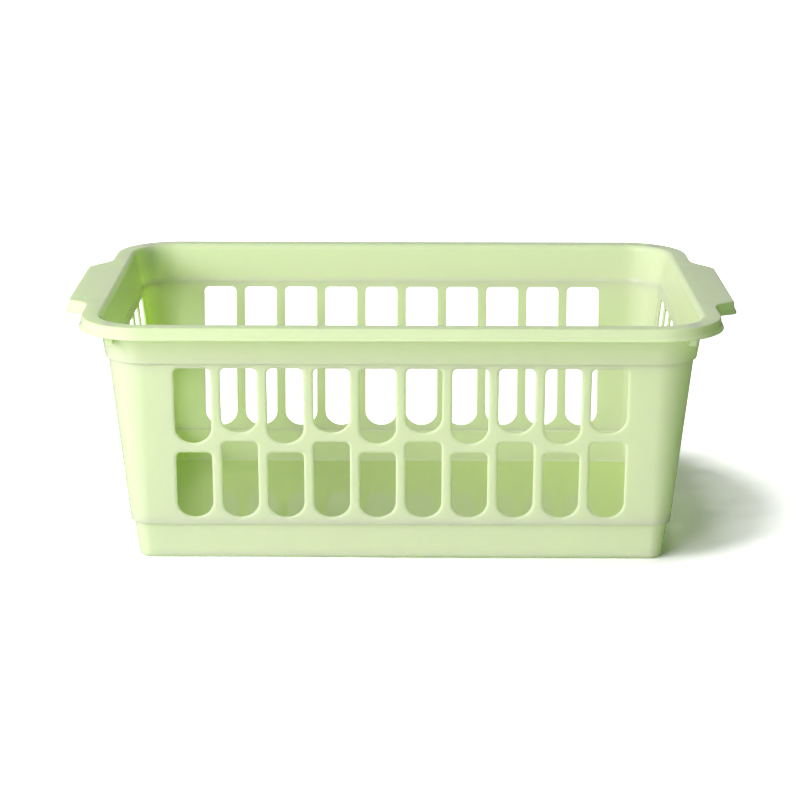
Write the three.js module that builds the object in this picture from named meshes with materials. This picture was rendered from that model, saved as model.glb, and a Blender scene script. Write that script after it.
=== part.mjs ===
// Small slotted storage basket, injection moulded in one soft green plastic.
// Millimetres, +Z up, the long side along X. The origin is the centre of the base, on the
// plane that the basket stands on.
//
// Every wall is an offset of one core rectangle: the four corner centres lie on the core, and a
// corner's radius is the wall's offset from it. The walls lean outwards, step inwards below the
// rim and again above the foot, and the moulding is divided at those steps.
import * as THREE from 'three';
import { ConvexGeometry } from 'three/addons/geometries/ConvexGeometry.js';

// Overall sizes, taken at the top edge of the rim
const height = 110;
const rimLength = 277.4;
const rimWidth = 187.6;
const rimCornerRadius = 28.5;

// Wall
const wall = 1.2;
const wallLeanDepth = 9.65;
const bandDraftShare = 0.15;
const upperBandDepth = 18.1;
const upperStep = 1.3;
const lowerStepHeight = 16.9;
const lowerStep = 1.4;
const stepLedge = 1.2;

// Floor and foot
const floorThickness = 1.8;
const floorLift = 1;
const footFillet = 2.5;
const footRingWidth = 2.2;
const floorFillet = 2;

// Rim: a flat flange with a rounded inner edge and a down-turned skirt that ends in a lip
const flangeWidth = 7.2;
const rimRoot = 4;
const rimInnerFillet = 2.3;
const rimEdgeRounding = 0.6;
const skirtDepth = 5.3;
const skirtThickness = 1.3;
const skirtLean = 0.3;
const lipReach = 1;
const lipHeight = 2.3;
const lipRounding = 0.5;

// Handle tab at each end
const handleReach = 10;
const handleOuterSpan = 72;
const handleInnerSpan = 92;
const handleRimRun = 12;
const handleInnerFillet = 5;
const handleOuterRounding = 2;
const handleDroop = 0.6;
const handleSkirtDepth = 5.9;

// Slots: two staggered rows round the body
const slotPitch = 20;
const slotWidth = 15.6;
const slotCornerRounding = 2.2;
const slotToeDepth = 7;
const slotSideMargin = 7;
const slotTopMargin = 2.4;
const slotBottomMargin = 3.5;
const bridgeHeight = 4.4;
const bridgeStagger = 5;
const bridgeRise = 0.5;

// Stacking ribs under the rim, one on each corner's middle facet, running along Y
const ribWidth = 3;
const ribDepth = 8.9;
const ribEndInset = 7.2;

// Facets
const cornerFacets = 7;
const curveFacets = 4;
const filletFacets = 4;

// Worked out from the sizes above
const coreHalfLength = rimLength / 2 - rimCornerRadius;
const coreHalfWidth = rimWidth / 2 - rimCornerRadius;
const upperStepHeight = height - upperBandDepth;
const draftShare = wallLeanDepth / upperStepHeight;
const panelBottom = lowerStepHeight + stepLedge;
const bandTop = height - rimRoot;
const skirtBottom = height - skirtDepth;
const up = new THREE.Vector3(0, 0, 1);

const plasticColour = 0xd9eeb4;
const plasticRoughness = 0.3;

// Outer offsets from the core at height z
function bandOffset(z) {
  return rimCornerRadius - flangeWidth - bandDraftShare * (height - z);
}

function panelOffset(z) {
  return bandOffset(upperStepHeight) - upperStep - draftShare * (upperStepHeight - z);
}

function footOffset(z) {
  return panelOffset(z) - lowerStep;
}

// Stations: a place on the core, the outward direction there, and the rim's edge line
function station(x, y, angle) {
  const out = new THREE.Vector3(Math.cos(angle), Math.sin(angle), 0);
  const core = new THREE.Vector3(x, y, 0);
  const edge = core.clone().addScaledVector(out, rimCornerRadius);
  return { core, out, edge, edgeOut: out, drop: 0, stretch: 1 };
}

// Corners run anticlockwise from the front left one
const corners = [
  { place: 'front_left', x: -coreHalfLength, y: -coreHalfWidth, start: Math.PI },
  { place: 'front_right', x: coreHalfLength, y: -coreHalfWidth, start: -Math.PI / 2 },
  { place: 'back_right', x: coreHalfLength, y: coreHalfWidth, start: 0 },
  { place: 'back_left', x: -coreHalfLength, y: coreHalfWidth, start: Math.PI / 2 },
];

function cornerStations(corner) {
  const stations = [];
  for (let i = 0; i <= cornerFacets; i++) {
    const angle = corner.start + (Math.PI / 2) * (i / cornerFacets);
    stations.push(station(corner.x, corner.y, angle));
  }
  return stations;
}

const roundTheBody = corners.flatMap(cornerStations);

function pointAt(base, out, offset, z) {
  const point = base.clone().addScaledVector(out, offset);
  point.z = z;
  return point;
}

// A section carried through stations. An open run is closed by flat caps at its two ends.
function sweep(stations, sectionAt, closed) {
  const sections = stations.map(sectionAt);
  const count = sections[0].length;
  const positions = sections.flat().flatMap((point) => point.toArray());
  const index = [];
  const spans = closed ? sections.length : sections.length - 1;
  for (let s = 0; s < spans; s++) {
    const here = s * count;
    const there = ((s + 1) % sections.length) * count;
    for (let k = 0; k < count; k++) {
      const next = (k + 1) % count;
      index.push(here + k, there + k, there + next);
      index.push(here + k, there + next, here + next);
    }
  }
  if (!closed) {
    const first = capTriangles(stations[0], sections[0]);
    const last = capTriangles(stations[sections.length - 1], sections[sections.length - 1]);
    const lastStart = (sections.length - 1) * count;
    first.forEach(([a, b, c]) => index.push(a, b, c));
    last.forEach(([a, b, c]) => index.push(lastStart + a, lastStart + c, lastStart + b));
  }
  const geometry = new THREE.BufferGeometry();
  geometry.setAttribute('position', new THREE.Float32BufferAttribute(positions, 3));
  geometry.setIndex(index);
  geometry.computeVertexNormals();
  return geometry;
}

function capTriangles(at, section) {
  const flat = section.map((point) => new THREE.Vector2(point.dot(at.out), point.z));
  return THREE.ShapeUtils.triangulateShape(flat, []);
}

// Quarter-circle points [offset, z] about a centre, from one angle to another
function arc(offset, z, radius, from, to) {
  const points = [];
  for (let i = 0; i <= filletFacets; i++) {
    const angle = from + (to - from) * (i / filletFacets);
    points.push([offset + radius * Math.cos(angle), z + radius * Math.sin(angle)]);
  }
  return points;
}

function fromOffsets(points) {
  return ({ core, out }) => points.map(([offset, z]) => pointAt(core, out, offset, z));
}

// Foot band: the plain wall below the slots, with the rounded foot that the basket stands on
const floorEdge = footOffset(0) - footFillet - footRingWidth;

function footBand() {
  const floorTop = floorLift + floorThickness;
  const innerFoot = footOffset(floorTop + floorFillet) - wall;
  const section = [
    [floorEdge, 0],
    ...arc(footOffset(0) - footFillet, footFillet, footFillet, -Math.PI / 2, 0),
    [footOffset(lowerStepHeight), lowerStepHeight],
    [panelOffset(lowerStepHeight), lowerStepHeight],
    [panelOffset(panelBottom), panelBottom],
    [footOffset(panelBottom) - wall, panelBottom],
    ...arc(innerFoot - floorFillet, floorTop + floorFillet, floorFillet, 0, -Math.PI / 2),
    [floorEdge, floorTop],
    [floorEdge, floorLift],
  ];
  return sweep(roundTheBody, fromOffsets(section), true);
}

function floorPanel() {
  const outline = roundTheBody.map(({ core, out }) => pointAt(core, out, floorEdge, 0));
  const shape = new THREE.Shape(outline.map((point) => new THREE.Vector2(point.x, point.y)));
  const geometry = new THREE.ExtrudeGeometry(shape, { depth: floorThickness, bevelEnabled: false });
  return geometry.translate(0, 0, floorLift);
}

// One slot: small rounded corners at the top, a deep round toe at the bottom
function slotPath(centre, bottom, top) {
  const half = slotWidth / 2;
  const rounding = slotCornerRounding;
  const slot = new THREE.Path();
  slot.moveTo(centre + half, bottom + slotToeDepth);
  slot.lineTo(centre + half, top - rounding);
  slot.quadraticCurveTo(centre + half, top, centre + half - rounding, top);
  slot.lineTo(centre - half + rounding, top);
  slot.quadraticCurveTo(centre - half, top, centre - half, top - rounding);
  slot.lineTo(centre - half, bottom + slotToeDepth);
  slot.absellipse(centre, bottom + slotToeDepth, half, slotToeDepth, Math.PI, 2 * Math.PI, false);
  return slot;
}

// A slotted wall between two corners. Columns alternate, long slot above and long slot below.
function slottedWall(halfSpan, coreDistance, angle, columns, columnsBefore) {
  const shape = new THREE.Shape();
  shape.moveTo(-halfSpan, panelBottom);
  shape.lineTo(halfSpan, panelBottom);
  shape.lineTo(halfSpan, upperStepHeight);
  shape.lineTo(-halfSpan, upperStepHeight);
  shape.closePath();
  const slotTop = upperStepHeight - slotTopMargin;
  const slotBottom = lowerStepHeight + slotBottomMargin;
  const middle = (slotTop + slotBottom) / 2 + bridgeRise;
  for (let i = 0; i < columns; i++) {
    const centre = (i - (columns - 1) / 2) * slotPitch;
    const side = (i + columnsBefore) % 2 === 0 ? -1 : 1;
    const bridge = middle + side * bridgeStagger / 2;
    shape.holes.push(slotPath(centre, bridge + bridgeHeight / 2, slotTop));
    shape.holes.push(slotPath(centre, slotBottom, bridge - bridgeHeight / 2));
  }
  const options = { depth: wall, bevelEnabled: false, curveSegments: curveFacets };
  const geometry = new THREE.ExtrudeGeometry(shape, options);
  const out = new THREE.Vector3(Math.cos(angle), Math.sin(angle), 0);
  const along = up.clone().cross(out);
  const lean = up.clone().addScaledVector(out, draftShare);
  const placing = new THREE.Matrix4().makeBasis(along, lean, out);
  placing.setPosition(out.clone().multiplyScalar(coreDistance + panelOffset(0) - wall));
  return geometry.applyMatrix4(placing);
}

function columnsIn(halfSpan) {
  const bar = slotPitch - slotWidth;
  return Math.floor((2 * (halfSpan - slotSideMargin) + bar) / slotPitch);
}

// Corner of the slotted height, plain
function cornerWall(corner) {
  const section = [
    [panelOffset(panelBottom) - wall, panelBottom],
    [panelOffset(panelBottom), panelBottom],
    [panelOffset(upperStepHeight), upperStepHeight],
    [panelOffset(upperStepHeight) - wall, upperStepHeight],
  ];
  return sweep(cornerStations(corner), fromOffsets(section), false);
}

// Upper band: the plain wall above the slots, standing out from them by one step
function upperBand() {
  const ledgeTop = upperStepHeight + stepLedge;
  const section = [
    [panelOffset(upperStepHeight) - wall, upperStepHeight],
    [bandOffset(upperStepHeight), upperStepHeight],
    [bandOffset(bandTop), bandTop],
    [bandOffset(bandTop) - wall, bandTop],
    [bandOffset(ledgeTop) - wall, ledgeTop],
    [panelOffset(ledgeTop) - wall, ledgeTop],
  ];
  return sweep(roundTheBody, fromOffsets(section), true);
}

// Rim section at a station: first the points that follow the wall, then those that follow the
// rim's edge line, which a handle carries outwards and down
function rimSection({ core, out, edge, edgeOut, drop, stretch }) {
  const rimUnderside = height - wall;
  const lipTop = skirtBottom + lipHeight;
  const lip = skirtLean + lipReach;
  const filletBase = height - rimInnerFillet;
  const filletCentre = bandOffset(filletBase) - wall + rimInnerFillet;
  const wallPoint = (offset, z) => pointAt(core, out, offset, z);
  const edgePoint = (offset, z) => (
    pointAt(edge, edgeOut, offset, height - drop - (height - z) * stretch)
  );
  return [
    wallPoint(bandOffset(bandTop), bandTop),
    wallPoint(bandOffset(rimUnderside), rimUnderside),
    edgePoint(-skirtThickness, rimUnderside),
    edgePoint(skirtLean - skirtThickness, skirtBottom),
    edgePoint(lip - lipRounding, skirtBottom),
    edgePoint(lip, skirtBottom + lipRounding),
    edgePoint(lip, lipTop - lipRounding),
    edgePoint(skirtLean, lipTop),
    edgePoint(0, height - rimEdgeRounding),
    edgePoint(-rimEdgeRounding, height),
    ...arc(filletCentre, filletBase, rimInnerFillet, Math.PI / 2, Math.PI)
      .map(([offset, z]) => wallPoint(offset, z)),
    wallPoint(bandOffset(bandTop) - wall, bandTop),
  ];
}

// Outline of a handle tab: how far it stands out from the rim's edge, and the place along it
const handleHalfRun = handleInnerSpan / 2 + handleRimRun;

function handleOutline() {
  const inner = handleInnerSpan / 2;
  const outer = handleOuterSpan / 2;
  const side = new THREE.Vector2(handleReach, inner - outer).normalize();
  const filletEnd = side.clone().multiplyScalar(handleInnerFillet);
  const roundStart = side.clone().multiplyScalar(handleOuterRounding);
  const outline = new THREE.Path();
  outline.moveTo(0, -handleHalfRun);
  outline.lineTo(0, -inner - handleInnerFillet);
  outline.quadraticCurveTo(0, -inner, filletEnd.x, -inner + filletEnd.y);
  outline.lineTo(handleReach - roundStart.x, -outer - roundStart.y);
  outline.quadraticCurveTo(handleReach, -outer, handleReach, -outer + handleOuterRounding);
  outline.lineTo(handleReach, outer - handleOuterRounding);
  outline.quadraticCurveTo(handleReach, outer, handleReach - roundStart.x, outer + roundStart.y);
  outline.lineTo(filletEnd.x, inner - filletEnd.y);
  outline.quadraticCurveTo(0, inner, 0, inner + handleInnerFillet);
  outline.lineTo(0, handleHalfRun);
  return outline.getPoints(curveFacets);
}

// Stations along one end of the rim. The end looks along +X or -X.
function handleStations(end) {
  const outline = handleOutline();
  return outline.map((point, i) => {
    const before = outline[Math.max(i - 1, 0)];
    const after = outline[Math.min(i + 1, outline.length - 1)];
    const runIn = point.clone().sub(before).normalize();
    const runOut = after.clone().sub(point).normalize();
    const run = runIn.clone().add(runOut).normalize();
    const spread = i === 0 || i === outline.length - 1 ? 1 : run.dot(runOut);
    const edgeOut = new THREE.Vector3(end * run.y, -end * run.x, 0).divideScalar(spread);
    const core = new THREE.Vector3(end * coreHalfLength, end * point.y, 0);
    const reach = end * (coreHalfLength + rimCornerRadius + point.x);
    const edge = new THREE.Vector3(reach, end * point.y, 0);
    const reachShare = point.x / handleReach;
    const drop = handleDroop * reachShare;
    const stretch = 1 + (handleSkirtDepth / skirtDepth - 1) * reachShare;
    return { core, out: new THREE.Vector3(end, 0, 0), edge, edgeOut, drop, stretch };
  });
}

function rimHalf(firstCorner, secondCorner, side) {
  const end = side * handleHalfRun;
  const stations = [
    station(side * coreHalfLength, end, side < 0 ? Math.PI : 0),
    ...cornerStations(firstCorner),
    ...cornerStations(secondCorner),
    station(-side * coreHalfLength, end, side < 0 ? 0 : Math.PI),
  ];
  return sweep(stations, rimSection, false);
}

// Stacking rib: a block hanging from the flange, from the corner's middle facet out to a flat end
function stackingRib(corner) {
  const sideX = Math.sign(corner.x);
  const sideY = Math.sign(corner.y);
  const endY = sideY * (rimWidth / 2 - ribEndInset);
  const points = [];
  for (const z of [height - ribDepth, height - wall]) {
    const facet = bandOffset(z) * Math.cos(Math.PI / 4 / cornerFacets) * Math.SQRT2;
    for (const across of [(facet - ribWidth) / 2, (facet + ribWidth) / 2]) {
      const x = corner.x + sideX * across;
      points.push(new THREE.Vector3(x, corner.y + sideY * (facet - across), z));
      points.push(new THREE.Vector3(x, endY, z));
    }
  }
  return new ConvexGeometry(points);
}

const basket = new THREE.Group();

function addPiece(name, geometry) {
  const material = new THREE.MeshStandardMaterial({
    color: plasticColour,
    roughness: plasticRoughness,
    metalness: 0,
  });
  const mesh = new THREE.Mesh(geometry, material);
  mesh.name = name;
  basket.add(mesh);
}

addPiece('floor_panel', floorPanel());
addPiece('foot_band', footBand());

const sides = [
  { name: 'front_wall', halfSpan: coreHalfLength, distance: coreHalfWidth, angle: -Math.PI / 2 },
  { name: 'right_end_wall', halfSpan: coreHalfWidth, distance: coreHalfLength, angle: 0 },
  { name: 'back_wall', halfSpan: coreHalfLength, distance: coreHalfWidth, angle: Math.PI / 2 },
  { name: 'left_end_wall', halfSpan: coreHalfWidth, distance: coreHalfLength, angle: Math.PI },
];
let columnsBefore = 0;
for (const side of sides) {
  const columns = columnsIn(side.halfSpan);
  const slotted = slottedWall(side.halfSpan, side.distance, side.angle, columns, columnsBefore);
  addPiece(side.name, slotted);
  columnsBefore += columns;
}

for (const corner of corners) {
  addPiece(`${corner.place}_corner`, cornerWall(corner));
  addPiece(`${corner.place}_stacking_rib`, stackingRib(corner));
}

addPiece('upper_band', upperBand());
addPiece('front_rim', rimHalf(corners[0], corners[1], -1));
addPiece('back_rim', rimHalf(corners[2], corners[3], 1));
addPiece('right_handle', sweep(handleStations(1), rimSection, false));
addPiece('left_handle', sweep(handleStations(-1), rimSection, false));

export default basket;
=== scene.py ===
# Looks of the slotted storage basket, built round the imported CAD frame.
# Metres, +Z up, the long side along X, the front towards -Y.
import math

import bmesh
import bpy
from mathutils import Matrix, Vector, geometry


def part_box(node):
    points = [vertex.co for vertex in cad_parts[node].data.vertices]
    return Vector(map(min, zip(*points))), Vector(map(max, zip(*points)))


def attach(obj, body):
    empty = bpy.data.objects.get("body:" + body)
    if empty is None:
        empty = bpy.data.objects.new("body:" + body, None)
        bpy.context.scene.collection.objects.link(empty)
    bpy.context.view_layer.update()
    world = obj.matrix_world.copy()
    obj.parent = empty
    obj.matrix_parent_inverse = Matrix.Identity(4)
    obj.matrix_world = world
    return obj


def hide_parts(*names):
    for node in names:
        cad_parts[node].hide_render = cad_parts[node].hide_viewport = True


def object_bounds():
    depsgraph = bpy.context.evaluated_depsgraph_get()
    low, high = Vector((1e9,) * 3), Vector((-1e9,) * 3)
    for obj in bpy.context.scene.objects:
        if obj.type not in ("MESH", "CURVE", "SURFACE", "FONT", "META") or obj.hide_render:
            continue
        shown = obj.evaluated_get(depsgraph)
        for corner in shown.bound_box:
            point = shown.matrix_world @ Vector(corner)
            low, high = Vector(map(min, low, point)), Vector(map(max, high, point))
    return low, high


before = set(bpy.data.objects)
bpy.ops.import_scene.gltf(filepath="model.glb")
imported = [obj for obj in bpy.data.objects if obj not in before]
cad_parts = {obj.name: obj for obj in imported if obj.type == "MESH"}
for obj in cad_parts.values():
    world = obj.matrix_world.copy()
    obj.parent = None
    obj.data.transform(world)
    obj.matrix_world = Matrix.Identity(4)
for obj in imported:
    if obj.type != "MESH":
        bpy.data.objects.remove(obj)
cad_low, cad_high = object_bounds()

MM = 0.001

# Sizes read from the frame
RIM_TOP = cad_high.z
wall_low, wall_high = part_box("front_wall")
end_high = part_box("right_end_wall")[1]
band_low, band_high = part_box("upper_band")
foot_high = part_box("foot_band")[1]
CORE_X = wall_high.x
CORE_Y = end_high.y
UPPER_STEP_Z = band_low.z
PANEL_BOTTOM_Z = foot_high.z
PANEL_TOP_OFFSET = -wall_low.y - CORE_Y
BAND_TOP_OFFSET = -band_low.y - CORE_Y
BAND_TOP_Z = band_high.z

# Wall
WALL = 1.2 * MM
DRAFT = 0.105
BAND_DRAFT = 0.15
LOWER_STEP = 1.4 * MM
STEP_LEDGE = 1.2 * MM
STEP_ROUNDING = 0.35 * MM
INNER_STEP_EASE_SHARE = 0.3
INNER_STEP_ARC_START = 60
INNER_LEDGE = 0.7 * MM
INNER_LEDGE_START = 0.2 * MM
INNER_LEDGE_HEIGHT = 2.6 * MM
LOWER_STEP_Z = PANEL_BOTTOM_Z - STEP_LEDGE

# Foot and floor
FLOOR_THICKNESS = 1.8 * MM
FLOOR_LIFT = 1.0 * MM
FOOT_FILLET = 2.5 * MM
FOOT_RING = 2.2 * MM
FOOT_RING_CHAMFER = 0.4 * MM
FLOOR_FILLET = 1.0 * MM
FACES_UP = 0.9

# Rim
RIM_CORNER_RADIUS = 28.5 * MM
RIM_INNER_FILLET = 2.3 * MM
RIM_INNER_FILLET_DEPTH = 4.0 * MM
RIM_ROOT_FILLET = 0.8 * MM
RIM_EDGE_ROUNDING = 0.8 * MM
SKIRT_DEPTH = 5.3 * MM
SKIRT_THICKNESS = 1.3 * MM
SKIRT_LEAN = 0.3 * MM
SKIRT_INNER_EDGE = 0.3 * MM
LIP_REACH = 1.0 * MM
LIP_HEIGHT = 2.3 * MM
LIP_ROUNDING = 0.5 * MM
LIP_ARC_END = 30

# Handle tab at each end
HANDLE_REACH = 10.0 * MM
HANDLE_OUTER_HALF = 36.0 * MM
HANDLE_INNER_HALF = 46.0 * MM
HANDLE_INNER_FILLET = 5.0 * MM
HANDLE_OUTER_ROUNDING = 2.0 * MM
HANDLE_DROOP = 0.6 * MM
HANDLE_SKIRT_DEPTH = 5.9 * MM

# Slots
SLOT_PITCH = 20.0 * MM
SLOT_WIDTH = 15.6 * MM
SLOT_CORNER = 2.2 * MM
SLOT_TOE = 7.0 * MM
SLOT_SIDE_MARGIN = 7.0 * MM
SLOT_TOP_MARGIN = 2.4 * MM
SLOT_BOTTOM_MARGIN = 3.5 * MM
BRIDGE_HEIGHT = 4.4 * MM
BRIDGE_STAGGER = 5.0 * MM
BRIDGE_RISE = 0.5 * MM
SLOT_CROWN_WIDTH = 1.5 * MM
SLOT_CROWN_TILT = math.radians(34)
SLOT_EDGE_RADIUS = 0.3 * MM
SLOT_INNER_EDGE = 0.3 * MM

# Fineness of the meshes
CORNER_STEPS = 24
SMALL_ARC_STEPS = 4
LIP_ARC_STEPS = 6
HANDLE_BEND_STEPS = 10
FILLET_STEPS = 8
SLOT_CORNER_STEPS = 8
SLOT_TOE_STEPS = 28
LIP_STEPS = 8
LEDGE_STEPS = 8
SHARP_EDGE = math.radians(38)
WELD_DISTANCE = 1e-7
SHARED_GRID = 1e7
FILL_TOLERANCE = 1e-9
LARGEST_FACE_WEIGHT = 100

UP = Vector((0, 0, 1))


def panel_offset(z):
    return PANEL_TOP_OFFSET - DRAFT * (UPPER_STEP_Z - z)


def band_offset(z):
    return BAND_TOP_OFFSET + BAND_DRAFT * (z - BAND_TOP_Z)


def foot_offset(z):
    return panel_offset(z) - LOWER_STEP


# Stations: a place on the core rectangle and the outward direction there, anticlockwise from
# the front left corner
CORNERS = [
    (-CORE_X, -CORE_Y, math.pi),
    (CORE_X, -CORE_Y, 1.5 * math.pi),
    (CORE_X, CORE_Y, 0.0),
    (-CORE_X, CORE_Y, 0.5 * math.pi),
]


def direction(angle):
    return Vector((math.cos(angle), math.sin(angle), 0))


def corner_stations(x, y, start):
    turns = [start + 0.5 * math.pi * i / CORNER_STEPS for i in range(CORNER_STEPS + 1)]
    return [(Vector((x, y, 0)), direction(turn)) for turn in turns]


def arc(offset, z, radius, start, end, steps=FILLET_STEPS):
    """Points (offset, z) of an arc about a centre, angles in degrees."""
    points = []
    for i in range(steps + 1):
        a = math.radians(start + (end - start) * i / steps)
        points.append((offset + radius * math.cos(a), z + radius * math.sin(a)))
    return points


def new_piece(name, bm):
    mesh = bpy.data.meshes.new(name)
    bm.to_mesh(mesh)
    bm.free()
    piece = bpy.data.objects.new(name, mesh)
    bpy.context.scene.collection.objects.link(piece)
    return piece


def weld_and_smooth(bm):
    bmesh.ops.remove_doubles(bm, verts=bm.verts, dist=WELD_DISTANCE)
    bmesh.ops.recalc_face_normals(bm, faces=bm.faces)
    for face in bm.faces:
        face.smooth = True
    for edge in bm.edges:
        edge.smooth = len(edge.link_faces) == 2 and edge.calc_face_angle() < SHARP_EDGE


def weight_normals(piece):
    """Flat faces keep their own normals, and the fillets between them shade round."""
    modifier = piece.modifiers.new("weighted", "WEIGHTED_NORMAL")
    modifier.mode = "FACE_AREA"
    modifier.weight = LARGEST_FACE_WEIGHT
    modifier.keep_sharp = True
    graph = bpy.context.evaluated_depsgraph_get()
    mesh = bpy.data.meshes.new_from_object(piece.evaluated_get(graph))
    piece.modifiers.clear()
    old = piece.data
    piece.data = mesh
    mesh.name = piece.name
    bpy.data.meshes.remove(old)


def sweep_ring(bm, sections, closed):
    """Joins equal sections into a closed ring of quads. Closed sections join end to start too."""
    rings = [[bm.verts.new(point) for point in section] for section in sections]
    count = len(rings[0])
    for s, ring in enumerate(rings):
        following = rings[(s + 1) % len(rings)]
        for k in range(count if closed else count - 1):
            n = (k + 1) % count
            bm.faces.new((ring[k], following[k], following[n], ring[n]))
    return rings


# Foot and floor: one closed shell, the plain wall below the slots and the flat floor in it
def foot_profile():
    floor_top = FLOOR_LIFT + FLOOR_THICKNESS
    inner_foot = foot_offset(floor_top + FLOOR_FILLET) - WALL
    floor_edge = foot_offset(0) - FOOT_FILLET - FOOT_RING
    panel_outside = panel_offset(PANEL_BOTTOM_Z)
    panel_inside = panel_outside - WALL
    foot_inside = foot_offset(PANEL_BOTTOM_Z) - WALL
    ledge = STEP_ROUNDING
    ease = INNER_STEP_EASE_SHARE * ledge
    lower_step = (panel_offset(LOWER_STEP_Z) - ledge, LOWER_STEP_Z + ledge)
    inner_step = (foot_inside + ledge, PANEL_BOTTOM_Z - 2 * ledge)
    return [
        (floor_edge, FLOOR_LIFT),
        (floor_edge + FOOT_RING_CHAMFER, 0),
        *arc(foot_offset(0) - FOOT_FILLET, FOOT_FILLET, FOOT_FILLET, -90, 0),
        (foot_offset(LOWER_STEP_Z), LOWER_STEP_Z),
        *arc(*lower_step, ledge, -90, 0, SMALL_ARC_STEPS),
        (panel_outside, PANEL_BOTTOM_Z),
        (panel_inside, PANEL_BOTTOM_Z),
        (panel_inside - ease, PANEL_BOTTOM_Z - ease),
        *arc(*inner_step, ledge, INNER_STEP_ARC_START, 180, SMALL_ARC_STEPS),
        *arc(inner_foot - FLOOR_FILLET, floor_top + FLOOR_FILLET, FLOOR_FILLET, 0, -90),
    ]


def build_foot():
    bm = bmesh.new()
    stations = [station for corner in CORNERS for station in corner_stations(*corner)]
    profile = foot_profile()
    sections = [[core + out * o + UP * z for o, z in profile] for core, out in stations]
    rings = sweep_ring(bm, sections, closed=False)
    bm.faces.new([ring[0] for ring in rings])
    bm.faces.new([ring[-1] for ring in rings])
    weld_and_smooth(bm)
    piece = new_piece("foot_and_floor", bm)
    weight_normals(piece)
    return piece


def paint_floor_shade(piece):
    """The floor's up-facing faces take the second material, a deeper green that is painted shade
    for the floor lying in shade inside the basket.
    """
    fillet_top = FLOOR_LIFT + FLOOR_THICKNESS + FLOOR_FILLET
    for face in piece.data.polygons:
        if face.normal.z > FACES_UP and face.center.z < fillet_top:
            face.material_index = 1


# Slotted body: four walls and four corners in one closed shell with exact normals
class Shell:
    def __init__(self):
        self.bm = bmesh.new()
        self.normals = {}
        self.verts = {}

    def vert(self, point, normal):
        key = tuple(round(c * SHARED_GRID) for c in point)
        if key not in self.verts:
            self.verts[key] = self.bm.verts.new(point)
            self.normals[self.verts[key]] = normal.normalized()
        return self.verts[key]

    def face(self, verts):
        if len(set(verts)) > 2:
            self.bm.faces.new(verts)

    def piece(self, name):
        bmesh.ops.recalc_face_normals(self.bm, faces=self.bm.faces)
        self.bm.verts.index_update()
        normals = [None] * len(self.bm.verts)
        for vert, normal in self.normals.items():
            normals[vert.index] = normal
        for face in self.bm.faces:
            face.smooth = True
        built = new_piece(name, self.bm)
        built.data.normals_split_custom_set_from_vertices(normals)
        return built


def slot_outline(centre, bottom, top):
    """Points and outward directions of one slot, anticlockwise from the toe's right end."""
    half = SLOT_WIDTH / 2
    points = []
    for sign, start in ((1, 0), (-1, 90)):
        for i in range(SLOT_CORNER_STEPS + 1):
            a = math.radians(start + 90 * i / SLOT_CORNER_STEPS)
            away = Vector((math.cos(a), math.sin(a)))
            place = Vector((centre + sign * (half - SLOT_CORNER), top - SLOT_CORNER))
            points.append((place + SLOT_CORNER * away, away))
    for i in range(SLOT_TOE_STEPS + 1):
        a = math.pi * (1 + i / SLOT_TOE_STEPS)
        place = Vector((centre + half * math.cos(a), bottom + SLOT_TOE * (1 + math.sin(a))))
        away = Vector((math.cos(a) / half, math.sin(a) / SLOT_TOE)).normalized()
        points.append((place, away))
    return points


def slots_of_wall(columns, columns_before):
    slots = []
    slot_top = UPPER_STEP_Z - SLOT_TOP_MARGIN
    slot_bottom = LOWER_STEP_Z + SLOT_BOTTOM_MARGIN
    middle = (slot_top + slot_bottom) / 2 + BRIDGE_RISE
    for i in range(columns):
        centre = (i - (columns - 1) / 2) * SLOT_PITCH
        side = -1 if (i + columns_before) % 2 == 0 else 1
        bridge = middle + side * BRIDGE_STAGGER / 2
        slots.append(slot_outline(centre, bridge + BRIDGE_HEIGHT / 2, slot_top))
        slots.append(slot_outline(centre, slot_bottom, bridge - BRIDGE_HEIGHT / 2))
    return slots


def slot_edge_profile():
    """Steps across a slot's edge: (offset out of the slot, depth, tilt of the normal), from the
    gently crowned outer face round the edge and through the hole to the inner face."""
    edge_offset = SLOT_EDGE_RADIUS * (1 - math.sin(SLOT_CROWN_TILT))
    crown_radius = (SLOT_CROWN_WIDTH - edge_offset) / math.sin(SLOT_CROWN_TILT)
    edge_depth = crown_radius * (1 - math.cos(SLOT_CROWN_TILT))
    steps = []
    for i in range(FILLET_STEPS + 1):
        tilt = SLOT_CROWN_TILT * i / FILLET_STEPS
        offset = SLOT_CROWN_WIDTH - crown_radius * math.sin(tilt)
        steps.append((offset, crown_radius * (1 - math.cos(tilt)), tilt))
    inner_steps = FILLET_STEPS // 2
    for i in range(1, inner_steps + 1):
        tilt = SLOT_CROWN_TILT + (0.5 * math.pi - SLOT_CROWN_TILT) * i / inner_steps
        offset = SLOT_EDGE_RADIUS * (1 - math.sin(tilt))
        depth = edge_depth + SLOT_EDGE_RADIUS * (math.cos(SLOT_CROWN_TILT) - math.cos(tilt))
        steps.append((offset, depth, tilt))
    for i in range(inner_steps + 1):
        a = 0.5 * math.pi * i / inner_steps
        offset = SLOT_INNER_EDGE * (1 - math.cos(a))
        depth = WALL - SLOT_INNER_EDGE * (1 - math.sin(a))
        steps.append((offset, depth, 0.5 * math.pi + a))
    return steps


def fill_flat(outline, holes):
    """Triangles of a rectangle with holes, as indices into the points returned."""
    points = list(outline)
    loops = [list(range(len(outline)))]
    for hole in holes:
        loops.append(list(range(len(points), len(points) + len(hole))))
        points.extend(hole)
    edges = [(a, b) for loop in loops for a, b in zip(loop, loop[1:] + loop[:1])]
    filled, _, triangles, *_ = geometry.delaunay_2d_cdt(points, edges, [], 0, FILL_TOLERANCE)
    kept = []
    for triangle in triangles:
        middle = sum((filled[i] for i in triangle), Vector((0, 0))) / len(triangle)
        if not any(inside(middle, hole) for hole in holes):
            kept.append(triangle)
    return filled, kept


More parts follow.
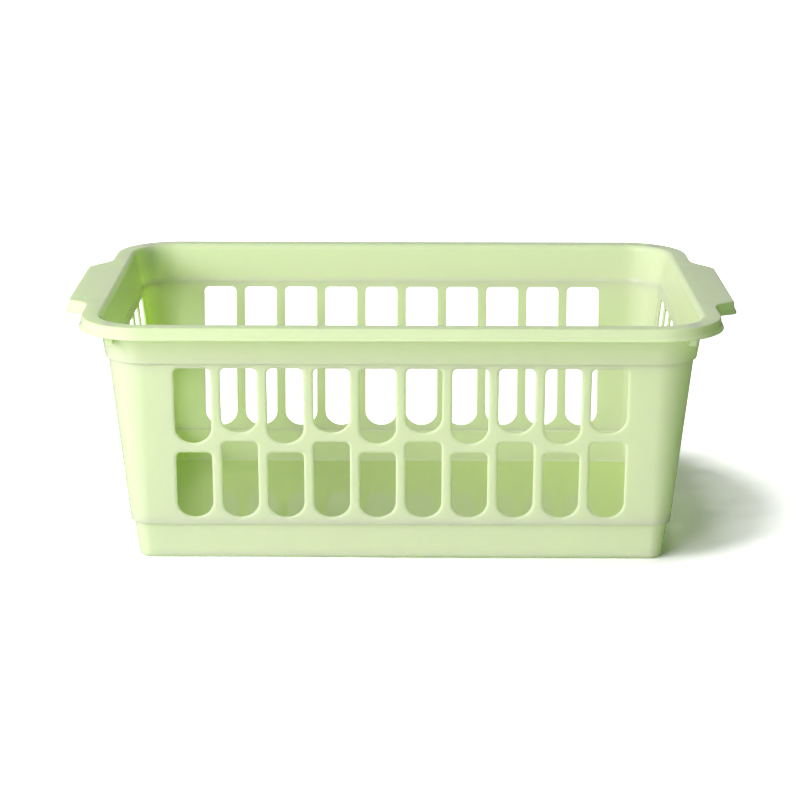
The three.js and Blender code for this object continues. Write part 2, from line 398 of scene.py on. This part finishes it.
def inside(point, loop):
    crossings = 0
    for a, b in zip(loop, loop[1:] + loop[:1]):
        if (a.y > point.y) != (b.y > point.y):
            x = a.x + (b.x - a.x) * (point.y - a.y) / (b.y - a.y)
            if x > point.x:
                crossings += 1
    return crossings % 2 == 1


def slotted_wall(shell, half_span, core_distance, angle, columns, columns_before):
    out = direction(angle)
    along = UP.cross(out)
    face_normal = (out - UP * DRAFT).normalized()
    leaning_up = (UP + out * DRAFT).normalized()

    def place(s, z, depth):
        return out * (core_distance + panel_offset(z) - depth) + along * s + UP * z

    slots = slots_of_wall(columns, columns_before)
    edge_steps = slot_edge_profile()
    corners = [
        Vector((-half_span, PANEL_BOTTOM_Z)),
        Vector((half_span, PANEL_BOTTOM_Z)),
        Vector((half_span, UPPER_STEP_Z)),
        Vector((-half_span, UPPER_STEP_Z)),
    ]
    for depth, growth, sign in ((0, SLOT_CROWN_WIDTH, 1), (WALL, SLOT_INNER_EDGE, -1)):
        holes = [[spot + away * growth for spot, away in slot] for slot in slots]
        points, triangles = fill_flat(corners, holes)
        verts = [shell.vert(place(p.x, p.y, depth), face_normal * sign) for p in points]
        for triangle in triangles:
            loop = [verts[i] for i in triangle]
            shell.face(loop if sign > 0 else loop[::-1])
    for slot in slots:
        rings = []
        for offset, depth, tilt in edge_steps:
            ring = []
            for spot, away in slot:
                p = spot + away * offset
                into_slot = -(along * away.x + leaning_up * away.y)
                normal = face_normal * math.cos(tilt) + into_slot * math.sin(tilt)
                ring.append(shell.vert(place(p.x, p.y, depth), normal))
            rings.append(ring)
        for ring, deeper in zip(rings, rings[1:]):
            for k in range(len(ring)):
                n = (k + 1) % len(ring)
                shell.face((ring[k], ring[n], deeper[n], deeper[k]))
    for z, flip in ((PANEL_BOTTOM_Z, False), (UPPER_STEP_Z, True)):
        ends = [(-half_span, 0), (-half_span, WALL), (half_span, WALL), (half_span, 0)]
        loop = [shell.vert(place(s, z, depth), face_normal) for s, depth in ends]
        shell.face(loop[::-1] if flip else loop)


def plain_corner(shell, corner):
    section = [(PANEL_BOTTOM_Z, 0), (UPPER_STEP_Z, 0), (UPPER_STEP_Z, WALL), (PANEL_BOTTOM_Z, WALL)]
    rows = []
    for core, out in corner_stations(*corner):
        normal = out - UP * DRAFT
        row = []
        for z, depth in section:
            point = core + out * (panel_offset(z) - depth) + UP * z
            row.append(shell.vert(point, normal if depth == 0 else -normal))
        rows.append(row)
    for row, following in zip(rows, rows[1:]):
        for k in range(len(section)):
            n = (k + 1) % len(section)
            shell.face((row[k], following[k], following[n], row[n]))


def build_body():
    shell = Shell()
    sides = [
        (CORE_X, CORE_Y, -0.5 * math.pi),
        (CORE_Y, CORE_X, 0.0),
        (CORE_X, CORE_Y, 0.5 * math.pi),
        (CORE_Y, CORE_X, math.pi),
    ]
    bar = SLOT_PITCH - SLOT_WIDTH
    columns_before = 0
    for half_span, distance, angle in sides:
        columns = int((2 * (half_span - SLOT_SIDE_MARGIN) + bar) / SLOT_PITCH)
        slotted_wall(shell, half_span, distance, angle, columns, columns_before)
        columns_before += columns
    for corner in CORNERS:
        plain_corner(shell, corner)
    return shell.piece("slotted_body")


# Rim, upper band and both handle tabs: one closed ring
def handle_outline():
    """Points (reach, along) of a tab's edge from one end of its root to the other."""
    inner, outer = HANDLE_INNER_HALF, HANDLE_OUTER_HALF
    side = Vector((HANDLE_REACH, inner - outer)).normalized()
    root = [
        Vector((0, inner + HANDLE_INNER_FILLET)),
        Vector((0, inner)),
        Vector((side.x, -side.y)) * HANDLE_INNER_FILLET + Vector((0, inner)),
    ]
    rounding = HANDLE_OUTER_ROUNDING
    tip = [
        Vector((HANDLE_REACH - side.x * rounding, outer + side.y * rounding)),
        Vector((HANDLE_REACH, outer)),
        Vector((HANDLE_REACH, outer - rounding)),
    ]
    half = bend(root) + bend(tip)
    return [Vector((p.x, -p.y)) for p in half] + half[::-1]


def bend(control):
    """A quadratic curve with three control points."""
    a, b, c = control
    points = []
    for i in range(HANDLE_BEND_STEPS + 1):
        t = i / HANDLE_BEND_STEPS
        points.append(a * (1 - t) ** 2 + b * (2 * t * (1 - t)) + c * t**2)
    return points


def rim_station(core, out):
    """Wall place and direction, edge place and direction, drop, and stretch of the skirt."""
    return (core, out, core + out * RIM_CORNER_RADIUS, out, 0.0, 1.0)


def handle_stations(end):
    outline = handle_outline()
    last = len(outline) - 1
    stations = []
    for i, point in enumerate(outline):
        run_in = (point - outline[max(i - 1, 0)]).normalized()
        run_out = (outline[min(i + 1, last)] - point).normalized()
        if i == 0:
            run_in = run_out
        if i == last:
            run_out = run_in
        run = (run_in + run_out).normalized()
        spread = run.dot(run_out)
        edge_out = Vector((end * run.y, -end * run.x, 0)) / spread
        core = Vector((end * CORE_X, end * point.y, 0))
        edge = Vector((end * (CORE_X + RIM_CORNER_RADIUS + point.x), end * point.y, 0))
        reach_share = point.x / HANDLE_REACH
        drop = HANDLE_DROOP * reach_share
        stretch = 1 + (HANDLE_SKIRT_DEPTH / SKIRT_DEPTH - 1) * reach_share
        stations.append((core, Vector((end, 0, 0)), edge, edge_out, drop, stretch))
    return stations


def rim_section(core, out, edge, edge_out, drop, stretch):
    underside = RIM_TOP - WALL
    skirt_bottom = RIM_TOP - SKIRT_DEPTH
    fillet_base = RIM_TOP - RIM_INNER_FILLET_DEPTH
    fillet_centre = band_offset(fillet_base) - WALL + RIM_INNER_FILLET
    fillet = []
    for i in range(FILLET_STEPS + 1):
        a = 0.5 * math.pi * (1 + i / FILLET_STEPS)
        o = fillet_centre + RIM_INNER_FILLET * math.cos(a)
        fillet.append((o, fillet_base + RIM_INNER_FILLET_DEPTH * math.sin(a)))
    ledge = []
    for i in range(LEDGE_STEPS + 1):
        t = 1 - i / LEDGE_STEPS
        z = UPPER_STEP_Z + INNER_LEDGE_START + INNER_LEDGE_HEIGHT * t
        ledge.append((panel_offset(z) - WALL + INNER_LEDGE * t * t * (3 - 2 * t), z))
    rounding = STEP_ROUNDING

    def on_wall(points):
        return [core + out * o + UP * z for o, z in points]

    def on_edge(points):
        lowered = [(o, RIM_TOP - drop - (RIM_TOP - z) * stretch) for o, z in points]
        return [edge + edge_out * o + UP * z for o, z in lowered]

    lip_rise = LIP_HEIGHT - 2 * LIP_ROUNDING
    flare = []
    for i in range(LIP_STEPS + 1):
        t = i / LIP_STEPS
        o = SKIRT_LEAN + LIP_REACH * (1 - math.cos(0.5 * math.pi * (1 - t)))
        flare.append((o, skirt_bottom + 2 * LIP_ROUNDING + lip_rise * t))
    lip = SKIRT_LEAN + LIP_REACH
    lip_arc = (lip - LIP_ROUNDING, skirt_bottom + LIP_ROUNDING)
    root = RIM_ROOT_FILLET
    root_start = underside - root
    upper_step = (band_offset(UPPER_STEP_Z) - rounding, UPPER_STEP_Z + rounding)
    skirt_inside = SKIRT_LEAN - SKIRT_THICKNESS
    top_edge = (-RIM_EDGE_ROUNDING, RIM_TOP - RIM_EDGE_ROUNDING)
    return [
        *on_wall([(panel_offset(UPPER_STEP_Z) - WALL, UPPER_STEP_Z)]),
        *on_wall([(panel_offset(UPPER_STEP_Z), UPPER_STEP_Z)]),
        *on_wall(arc(*upper_step, rounding, -90, 0, SMALL_ARC_STEPS)),
        *on_wall(arc(band_offset(root_start) + root, root_start, root, 180, 90, SMALL_ARC_STEPS)),
        *on_edge([(-SKIRT_THICKNESS, underside)]),
        *on_edge([(skirt_inside, skirt_bottom + SKIRT_INNER_EDGE)]),
        *on_edge([(skirt_inside + SKIRT_INNER_EDGE, skirt_bottom)]),
        *on_edge(arc(*lip_arc, LIP_ROUNDING, -90, LIP_ARC_END, LIP_ARC_STEPS)),
        *on_edge(flare[1:]),
        *on_edge(arc(*top_edge, RIM_EDGE_ROUNDING, 0, 90)),
        *on_wall(fillet),
        *on_wall(ledge),
    ]


def build_rim():
    stations = []
    for i, corner in enumerate(CORNERS):
        stations += [rim_station(core, out) for core, out in corner_stations(*corner)]
        if i == 1:
            stations += handle_stations(1)
        if i == 3:
            stations += handle_stations(-1)
    bm = bmesh.new()
    sweep_ring(bm, [rim_section(*station) for station in stations], closed=True)
    weld_and_smooth(bm)
    piece = new_piece("rim_and_handles", bm)
    weight_normals(piece)
    return piece


# Plastic: what it turns back is pale, and what passes through it is a strong yellowish green
WALL_TINT = (0.95, 0.89, 0.84)
# Painted shade: a deeper, more saturated green for the basket's floor, which lies in shade
FLOOR_SHADE_COLOUR = (0.92, 0.98, 0.54)
TINT_VARIATION = 0.01
TINT_RAMP_START = 0.3
TINT_RAMP_END = 0.7
THROUGH_COLOUR = (0.70, 0.98, 0.02, 1)
THROUGH_SHARE = 0.53
FLOW_MARKS = {"Scale": 9.0, "Detail": 3.0, "Roughness": 0.5}
MOTTLE = {"Scale": 60.0, "Detail": 4.0}
RIPPLE = {"Scale": 35.0, "Detail": 2.0}
RIPPLE_STRENGTH = 0.03
RIPPLE_DEPTH = 0.3 * MM
BODY_ROUGHNESS_LEAST = 0.45
BODY_ROUGHNESS_MOST = 0.55
BODY_IOR = 1.49
BODY_SPECULAR = 0.1
COAT_WEIGHT = 0.8
COAT_ROUGHNESS = 0.03
COAT_IOR = 1.45


def noise(nodes, links, place, settings):
    texture = nodes.new("ShaderNodeTexNoise")
    for name, value in settings.items():
        texture.inputs[name].default_value = value
    links.new(place.outputs["Object"], texture.inputs["Vector"])
    return texture


def green_plastic(name, tint_colour):
    """Pastel green polypropylene: a gloss, light through it, faint flow marks and ripples."""
    material = bpy.data.materials.new(name)
    material.use_nodes = True
    nodes, links = material.node_tree.nodes, material.node_tree.links
    shader = nodes["Principled BSDF"]
    place = nodes.new("ShaderNodeTexCoord")

    flow = noise(nodes, links, place, FLOW_MARKS)
    tint = nodes.new("ShaderNodeValToRGB")
    tint.color_ramp.elements[0].position = TINT_RAMP_START
    tint.color_ramp.elements[0].color = [c * (1 - TINT_VARIATION) for c in tint_colour] + [1]
    tint.color_ramp.elements[1].position = TINT_RAMP_END
    tint.color_ramp.elements[1].color = [c * (1 + TINT_VARIATION) for c in tint_colour] + [1]
    links.new(flow.outputs["Fac"], tint.inputs["Fac"])
    links.new(tint.outputs["Color"], shader.inputs["Base Color"])

    mottle = noise(nodes, links, place, MOTTLE)
    dullness = nodes.new("ShaderNodeMapRange")
    dullness.inputs["To Min"].default_value = BODY_ROUGHNESS_LEAST
    dullness.inputs["To Max"].default_value = BODY_ROUGHNESS_MOST
    links.new(mottle.outputs["Fac"], dullness.inputs["Value"])
    links.new(dullness.outputs["Result"], shader.inputs["Roughness"])

    ripple = noise(nodes, links, place, RIPPLE)
    bump = nodes.new("ShaderNodeBump")
    bump.inputs["Strength"].default_value = RIPPLE_STRENGTH
    bump.inputs["Distance"].default_value = RIPPLE_DEPTH
    links.new(ripple.outputs["Fac"], bump.inputs["Height"])
    links.new(bump.outputs["Normal"], shader.inputs["Normal"])

    shader.inputs["IOR"].default_value = BODY_IOR
    shader.inputs["Specular IOR Level"].default_value = BODY_SPECULAR
    shader.inputs["Coat Weight"].default_value = COAT_WEIGHT
    shader.inputs["Coat Roughness"].default_value = COAT_ROUGHNESS
    shader.inputs["Coat IOR"].default_value = COAT_IOR
    links.new(bump.outputs["Normal"], shader.inputs["Coat Normal"])

    # The light that passes through has the same gloss over it, on the outside of the shell only
    through = nodes.new("ShaderNodeBsdfTranslucent")
    through.inputs["Color"].default_value = THROUGH_COLOUR
    mirror = nodes.new("ShaderNodeBsdfAnisotropic")
    mirror.inputs["Roughness"].default_value = COAT_ROUGHNESS
    links.new(bump.outputs["Normal"], mirror.inputs["Normal"])
    grazing = nodes.new("ShaderNodeFresnel")
    grazing.inputs["IOR"].default_value = COAT_IOR
    side = nodes.new("ShaderNodeNewGeometry")
    outside = nodes.new("ShaderNodeMath")
    outside.operation = "SUBTRACT"
    outside.inputs[0].default_value = 1.0
    links.new(side.outputs["Backfacing"], outside.inputs[1])
    gloss_share = nodes.new("ShaderNodeMath")
    gloss_share.operation = "MULTIPLY"
    links.new(grazing.outputs["Fac"], gloss_share.inputs[0])
    links.new(outside.outputs["Value"], gloss_share.inputs[1])
    glossy_through = nodes.new("ShaderNodeMixShader")
    links.new(gloss_share.outputs["Value"], glossy_through.inputs["Fac"])
    links.new(through.outputs["BSDF"], glossy_through.inputs[1])
    links.new(mirror.outputs["BSDF"], glossy_through.inputs[2])

    mix = nodes.new("ShaderNodeMixShader")
    mix.inputs["Fac"].default_value = THROUGH_SHARE
    links.new(shader.outputs["BSDF"], mix.inputs[1])
    links.new(glossy_through.outputs["Shader"], mix.inputs[2])
    links.new(mix.outputs["Shader"], nodes["Material Output"].inputs["Surface"])
    return material


# Floor of the stage: its shade to the eye, to diffuse light and in reflections, and the fade
# that turns it white away from the basket's shadow
FLOOR_SEEN = 1.1
FLOOR_PLAIN = 0.76
FLOOR_MIRRORED = 0.35
FLOOR_SHADOW_FILL = 0.05
FLOOR_FADE_CENTRE = (0.06, 0.01, 0)
FLOOR_FADE_SHAPE = (1, 1.15, 1)
FLOOR_FADE_START = 0.11
FLOOR_FADE_END = 0.155
FLOOR_HALF = 3.0
FLOOR_GAP = 0.02 * MM


def floor_material():
    """Pale floor. The eye sees it over-lit, so it is white outside the shadow."""
    material = bpy.data.materials.new("pale_floor")
    material.use_nodes = True
    nodes, links = material.node_tree.nodes, material.node_tree.links
    nodes.remove(nodes["Principled BSDF"])
    path = nodes.new("ShaderNodeLightPath")
    plain_shade = nodes.new("ShaderNodeMapRange")
    plain_shade.inputs["To Min"].default_value = FLOOR_PLAIN
    plain_shade.inputs["To Max"].default_value = FLOOR_MIRRORED
    plain = nodes.new("ShaderNodeBsdfDiffuse")
    links.new(path.outputs["Is Glossy Ray"], plain_shade.inputs["Value"])
    links.new(plain_shade.outputs["Result"], plain.inputs["Color"])
    seen = nodes.new("ShaderNodeBsdfDiffuse")
    seen.inputs["Color"].default_value = (FLOOR_SEEN, FLOOR_SEEN, FLOOR_SEEN, 1)

    place = nodes.new("ShaderNodeTexCoord")
    centred = nodes.new("ShaderNodeVectorMath")
    centred.operation = "SUBTRACT"
    centred.inputs[1].default_value = FLOOR_FADE_CENTRE
    links.new(place.outputs["Object"], centred.inputs[0])
    shaped = nodes.new("ShaderNodeVectorMath")
    shaped.operation = "MULTIPLY"
    shaped.inputs[1].default_value = FLOOR_FADE_SHAPE
    links.new(centred.outputs["Vector"], shaped.inputs[0])
    reach = nodes.new("ShaderNodeVectorMath")
    reach.operation = "LENGTH"
    links.new(shaped.outputs["Vector"], reach.inputs[0])
    far = nodes.new("ShaderNodeMapRange")
    far.inputs["From Min"].default_value = FLOOR_FADE_START
    far.inputs["From Max"].default_value = FLOOR_FADE_END
    far.inputs["To Min"].default_value = FLOOR_SHADOW_FILL
    links.new(reach.outputs["Value"], far.inputs["Value"])
    glow = nodes.new("ShaderNodeEmission")
    links.new(far.outputs["Result"], glow.inputs["Strength"])
    lit = nodes.new("ShaderNodeAddShader")
    links.new(seen.outputs["BSDF"], lit.inputs[0])
    links.new(glow.outputs["Emission"], lit.inputs[1])

    mix = nodes.new("ShaderNodeMixShader")
    links.new(path.outputs["Is Camera Ray"], mix.inputs["Fac"])
    links.new(plain.outputs["BSDF"], mix.inputs[1])
    links.new(lit.outputs["Shader"], mix.inputs[2])
    links.new(mix.outputs["Shader"], nodes["Material Output"].inputs["Surface"])
    return material


def build_floor():
    bm = bmesh.new()
    corners = [(-1, -1), (1, -1), (1, 1), (-1, 1)]
    verts = [bm.verts.new((x * FLOOR_HALF, y * FLOOR_HALF, -FLOOR_GAP)) for x, y in corners]
    bm.faces.new(verts)
    floor = new_piece("stage_floor", bm)
    floor.data.materials.append(floor_material())


# Lamps, and the backdrop as the plastic mirrors it: dark at the front, pale behind
LAMP_AIM = Vector((0, 0, 0.05))
LAMP_DISTANCE = 2.2
REFLECTED_BACKDROP = 0.6
REFLECTED_FRONT = 0.1
BACKDROP_START = 0.5
BACKDROP_FULL = 0.95


def lamp(name, azimuth, elevation, width, power, height=1.0, mirrored=False):
    """A softbox aimed at the basket. Azimuth 0 is the front, and minus is to the left. The
    plastic mirrors it only where mirrored is true."""
    a, e = math.radians(azimuth), math.radians(elevation)
    away = Vector((math.sin(a) * math.cos(e), -math.cos(a) * math.cos(e), math.sin(e)))
    data = bpy.data.lights.new(name, "AREA")
    data.shape = "RECTANGLE"
    data.size = width
    data.size_y = height
    data.energy = power
    light = bpy.data.objects.new(name, data)
    light.location = LAMP_AIM + away * LAMP_DISTANCE
    light.rotation_euler = away.to_track_quat("Z", "Y").to_euler()
    light.visible_glossy = mirrored
    bpy.context.scene.collection.objects.link(light)


def light_scene():
    world = bpy.data.worlds.new("studio")
    bpy.context.scene.world = world
    world.use_nodes = True
    nodes, links = world.node_tree.nodes, world.node_tree.links
    background = nodes["Background"]
    background.inputs["Color"].default_value = (1, 1, 1, 1)
    path = nodes.new("ShaderNodeLightPath")
    reflected = nodes.new("ShaderNodeMath")
    reflected.operation = "MULTIPLY"
    place = nodes.new("ShaderNodeTexCoord")
    axes = nodes.new("ShaderNodeSeparateXYZ")
    links.new(place.outputs["Generated"], axes.inputs["Vector"])
    backdrop = nodes.new("ShaderNodeMapRange")
    backdrop.inputs["From Min"].default_value = BACKDROP_START
    backdrop.inputs["From Max"].default_value = BACKDROP_FULL
    backdrop.inputs["To Min"].default_value = REFLECTED_FRONT
    backdrop.inputs["To Max"].default_value = REFLECTED_BACKDROP
    links.new(axes.outputs["Y"], backdrop.inputs["Value"])
    links.new(path.outputs["Is Glossy Ray"], reflected.inputs[0])
    links.new(backdrop.outputs["Result"], reflected.inputs[1])
    seen = nodes.new("ShaderNodeMath")
    seen.operation = "MAXIMUM"
    links.new(path.outputs["Is Camera Ray"], seen.inputs[0])
    links.new(reflected.outputs["Value"], seen.inputs[1])
    links.new(seen.outputs["Value"], background.inputs["Strength"])
    lamp("left_softbox", -62, 28, 1.0, 33.0)
    lamp("main_softbox", -36, 32, 1.27, 17.0, height=1.35, mirrored=True)
    lamp("low_front_softbox", -32, 9, 0.9, 24.0, height=0.6)
    lamp("side_softbox", -100, 35, 1.0, 10.0)
    lamp("back_softbox", 180, 20, 0.7, 8.0)
    lamp("top_softbox", -20, 78, 1.0, 9.5)


# Camera, solved from the photograph
CAMERA_PLACE = Vector((1.0648, -1050.117, 339.554)) * MM
CAMERA_PITCH = 0.265973
CAMERA_YAW = -0.001518
CAMERA_ROLL = 0.0023258
SENSOR_WIDTH = 36.0
PHOTO_WIDTH_PX = 800
FOCAL_PX = 2330


def place_camera():
    forward = Vector((
        math.sin(CAMERA_YAW) * math.cos(CAMERA_PITCH),
        math.cos(CAMERA_YAW) * math.cos(CAMERA_PITCH),
        -math.sin(CAMERA_PITCH),
    ))
    level = Vector((math.cos(CAMERA_YAW), -math.sin(CAMERA_YAW), 0))
    upright = level.cross(forward)
    right = level * math.cos(CAMERA_ROLL) + upright * math.sin(CAMERA_ROLL)
    up = upright * math.cos(CAMERA_ROLL) - level * math.sin(CAMERA_ROLL)
    data = bpy.data.cameras.new("photo_camera")
    data.sensor_width = SENSOR_WIDTH
    data.lens = SENSOR_WIDTH * FOCAL_PX / PHOTO_WIDTH_PX
    camera = bpy.data.objects.new("photo_camera", data)
    turned = Matrix((right, up, -forward)).transposed().to_4x4()
    camera.matrix_world = Matrix.Translation(CAMERA_PLACE) @ turned
    bpy.context.scene.collection.objects.link(camera)
    bpy.context.scene.camera = camera


plastic = green_plastic("green_plastic", WALL_TINT)
# The second plastic carries the floor's painted shade in its deeper green
shaded_floor_plastic = green_plastic("green_plastic_floor_painted_shade", FLOOR_SHADE_COLOUR)
REPLACED_BY = [
    (build_foot, ["foot_band", "floor_panel"]),
    (build_body, [
        "front_wall", "back_wall", "left_end_wall", "right_end_wall",
        "front_left_corner", "front_right_corner", "back_right_corner", "back_left_corner",
    ]),
    (build_rim, ["upper_band", "front_rim", "back_rim", "right_handle", "left_handle"]),
]
for build, replaced in REPLACED_BY:
    piece = build()
    piece.data.materials.append(plastic)
    # The floor's up-facing faces get the deeper green of painted shade
    if piece.name == "foot_and_floor":
        piece.data.materials.append(shaded_floor_plastic)
        paint_floor_shade(piece)
    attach(piece, "root")
    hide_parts(*replaced)
for name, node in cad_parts.items():
    if name.endswith("_stacking_rib"):
        node.data.materials.clear()
        node.data.materials.append(plastic)

build_floor()
light_scene()
place_camera()
bpy.context.scene.view_settings.view_transform = "Standard"
